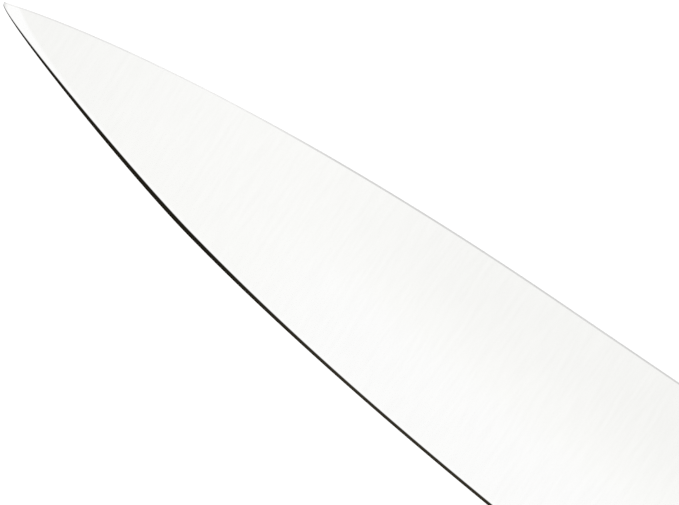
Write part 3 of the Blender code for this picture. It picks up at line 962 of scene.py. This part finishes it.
def build_knife():
    """Every piece of the dressed knife."""
    finishes = {
        "face": ground_face(),
        "bevel": honed_bevel(),
        "spine": spine_steel(),
        "bolster": bolster_steel(),
    }
    steel = steel_mesh(list(finishes))
    piece("forged_blade", steel, finishes.values(), ["blade"])

    root = Vector((HANDLE_START, 0, 0))
    inset = TRIM + JOINT
    tongue = [
        (-TONGUE_SHOULDER, BOLSTER_BOTTOM + inset),
        (-TONGUE_LENGTH, BOLSTER_BOTTOM + TONGUE_STEP),
        (-TONGUE_LENGTH, BOLSTER_TOP - TONGUE_STEP),
        (-TONGUE_SHOULDER, BOLSTER_TOP - inset),
    ]
    tang = plate(handle_outline(inset) + tongue, -HALF_TANG, HALF_TANG)
    piece("tang", tang, [tang_steel()], ["blade"], root)

    black = handle_black()
    cutters = rivet_cutters()
    for level, side in (("upper", 1), ("lower", -1)):
        name = f"{level}_grip_scale"
        node = f"{level}_scale"
        made = piece(name, scale_mesh(side), [black], [node], root)
        drilled(made, cutters)
    for cutter in cutters:
        bpy.data.objects.remove(cutter)

    rivet = rivet_steel()
    for number, spot in enumerate(rivet_places(), 1):
        for half, side in (("barrel", 1), ("pin", -1)):
            head = rivet_head_mesh()
            if side < 0:
                bmesh.ops.scale(head, vec=(1, 1, -1), verts=head.verts)
                bmesh.ops.reverse_faces(head, faces=head.faces)
            name = f"rivet_{number}_{half}_head"
            node = f"rivet_{number}_{half}"
            piece(name, head, [rivet], [node], root + spot)


# Studio


def background_share(tree):
    """1 for rays that show the background: those of the camera, and reflections and glass."""
    path = add(tree, "ShaderNodeLightPath")
    seen = arithmetic(tree, "ADD", path.outputs["Is Camera Ray"], path.outputs["Is Glossy Ray"])
    seen = arithmetic(tree, "ADD", seen, path.outputs["Is Transmission Ray"])
    return arithmetic(tree, "MINIMUM", seen, 1.0)


def build_world():
    """A backdrop that is pale at the horizon and white above, and a dimmer even light on the object."""
    world = bpy.data.worlds.new("studio")
    bpy.context.scene.world = world
    world.cycles.sampling_method = "NONE"  # light this even looks cleaner on steel without it
    world.use_nodes = True
    tree = world.node_tree
    back = tree.nodes["Background"]
    back.inputs["Color"].default_value = (1, 1, 1, 1)
    place = add(tree, "ShaderNodeTexCoord")
    split = add(tree, "ShaderNodeSeparateXYZ")
    tree.links.new(place.outputs["Generated"], split.inputs["Vector"])
    backdrop = remap(tree, split.outputs["Z"], 0.0, SKY_FULL_HEIGHT, SKY_HORIZON, SKY_TOP)
    made = add(tree, "ShaderNodeMix", data_type="FLOAT")
    tree.links.new(background_share(tree), made.inputs[0])
    made.inputs[2].default_value = SKY_LIGHT
    tree.links.new(backdrop, made.inputs[3])
    tree.links.new(made.outputs[0], back.inputs["Strength"])


def build_floor():
    """A plain pale floor that keeps the knife's shadow."""
    bm = bmesh.new()
    bmesh.ops.create_grid(bm, x_segments=1, y_segments=1, size=FLOOR_SIZE)
    mesh = bpy.data.meshes.new("floor")
    bm.to_mesh(mesh)
    bm.free()
    made = bpy.data.objects.new("floor", mesh)
    bpy.context.scene.collection.objects.link(made)
    made.location.z = -FLOOR_DROP
    finish = bpy.data.materials.new("floor_white")
    finish.use_nodes = True
    tree = finish.node_tree
    tree.nodes.clear()
    out = add(tree, "ShaderNodeOutputMaterial")
    matt = add(tree, "ShaderNodeBsdfDiffuse")
    glow = add(tree, "ShaderNodeEmission", Color=(1, 1, 1, 1))
    both = add(tree, "ShaderNodeAddShader")
    seen = background_share(tree)
    paint = remap(tree, seen, 0, 1, FLOOR_COLOUR, FLOOR_SEEN_COLOUR)
    tree.links.new(tinted(tree, (1, 1, 1), paint), matt.inputs["Color"])
    tree.links.new(remap(tree, seen, 0, 1, 0, FLOOR_SEEN_GLOW), glow.inputs["Strength"])
    tree.links.new(matt.outputs["BSDF"], both.inputs[0])
    tree.links.new(glow.outputs["Emission"], both.inputs[1])
    tree.links.new(both.outputs["Shader"], out.inputs["Surface"])
    mesh.materials.append(finish)


def build_key_lamp():
    """A large soft lamp that looks at the knife."""
    data = bpy.data.lights.new("key", "AREA")
    data.shape = "SQUARE"
    data.size = KEY_SIZE
    data.energy = KEY_POWER
    lamp = bpy.data.objects.new("key", data)
    bpy.context.scene.collection.objects.link(lamp)
    lamp.location = KEY_PLACE
    lamp.rotation_euler = (-lamp.location).to_track_quat("-Z", "Y").to_euler()
    lamp.visible_glossy = False  # steel mirrors the backdrop alone, so that no side of it burns out


def build_camera():
    """Straight above the blade, turned so that the tip lies in the picture's upper left corner."""
    turn = BLADE_TILT
    across = (PICTURE_WIDTH - 1) / 2 - TIP_PIXEL[0]
    down = (PICTURE_HEIGHT - 1) / 2 - TIP_PIXEL[1]
    along_blade = (across * math.cos(turn) + down * math.sin(turn)) * METRES_PER_PIXEL
    to_spine = (across * math.sin(turn) - down * math.cos(turn)) * METRES_PER_PIXEL
    distance = PICTURE_WIDTH * METRES_PER_PIXEL * LENS / SENSOR
    data = bpy.data.cameras.new("camera")
    data.lens = LENS
    data.sensor_width = SENSOR
    camera = bpy.data.objects.new("camera", data)
    bpy.context.scene.collection.objects.link(camera)
    face_height = TIP.z + HEEL_THICKNESS / 4
    camera.location = (TIP.x + along_blade, TIP.y + to_spine, face_height + distance)
    camera.rotation_euler = (0, 0, turn)
    bpy.context.scene.camera = camera


build_knife()
build_world()
build_floor()
build_key_lamp()
build_camera()
bpy.context.scene.view_settings.view_transform = "Standard"
